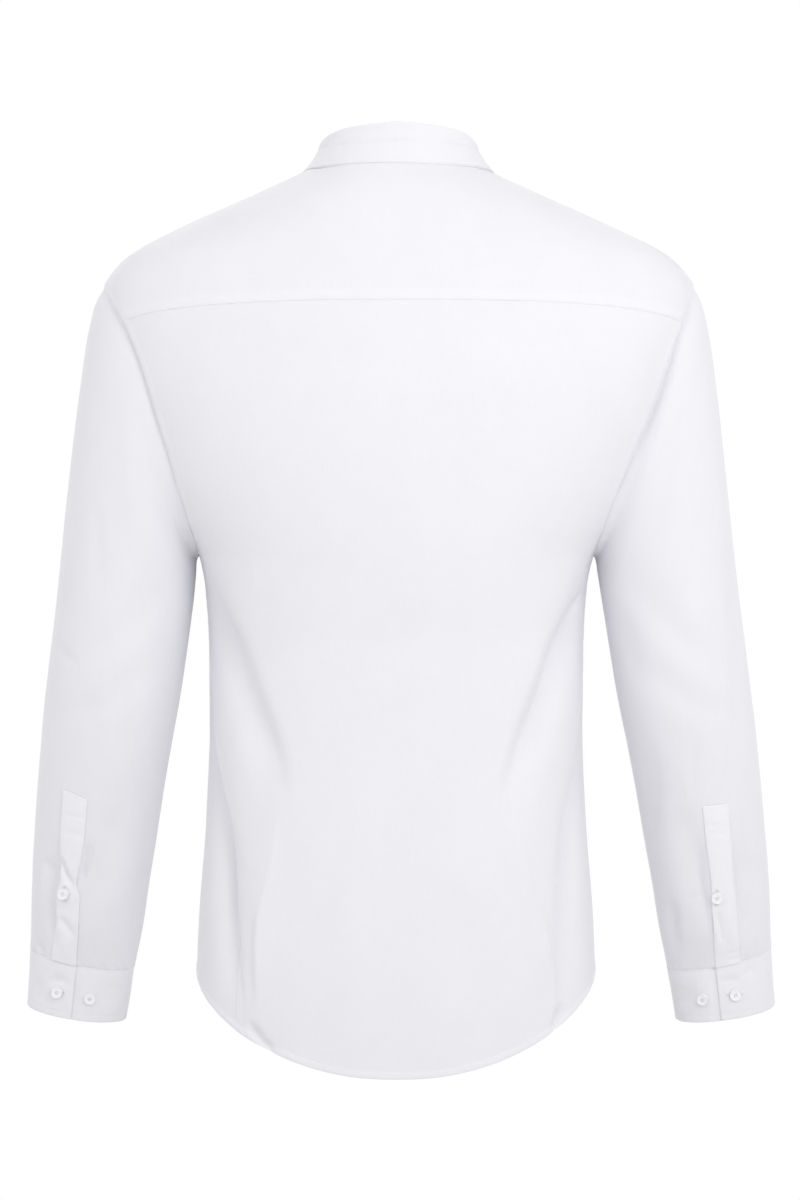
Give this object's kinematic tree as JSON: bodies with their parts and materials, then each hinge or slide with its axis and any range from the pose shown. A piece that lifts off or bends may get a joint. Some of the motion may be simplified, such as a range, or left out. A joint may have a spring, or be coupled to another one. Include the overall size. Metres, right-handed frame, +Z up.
{
  "type": "shirt",
  "caption": "Long-sleeved slim shirt with a band collar, a buttoned front and a curved shirt-tail hem, standing hollow as it is worn.",
  "frame": {"origin": "middle of the neck opening at the base of the collar", "axes": "+Z up, the front faces -Y, the wearer's left is +X"},
  "size_m": [0.6284, 0.2454, 0.772],
  "materials": {
    "cotton": "white plain-weave cotton",
    "cotton_double": "white plain-weave cotton, two or more layers",
    "shell_button": "pale pearl-like plastic, polished"
  },
  "bodies": {
    "root": {"back": "cotton", "front_left": "cotton", "front_right": "cotton", "yoke": "cotton", "sleeve_left": "cotton", "sleeve_right": "cotton", "front_placket": "cotton_double", "collar_band": "cotton_double", "cuff_left": "cotton_double", "cuff_right": "cotton_double", "sleeve_placket_left": "cotton_double", "sleeve_placket_right": "cotton_double", "button_collar": "shell_button", "button_front_1": "shell_button", "button_front_2": "shell_button", "button_front_3": "shell_button", "button_front_4": "shell_button", "button_front_5": "shell_button", "button_front_6": "shell_button", "button_cuff_left_fastened": "shell_button", "button_cuff_left_spare": "shell_button", "button_sleeve_left": "shell_button", "button_cuff_right_fastened": "shell_button", "button_cuff_right_spare": "shell_button", "button_sleeve_right": "shell_button"}
  },
  "joints": []
}
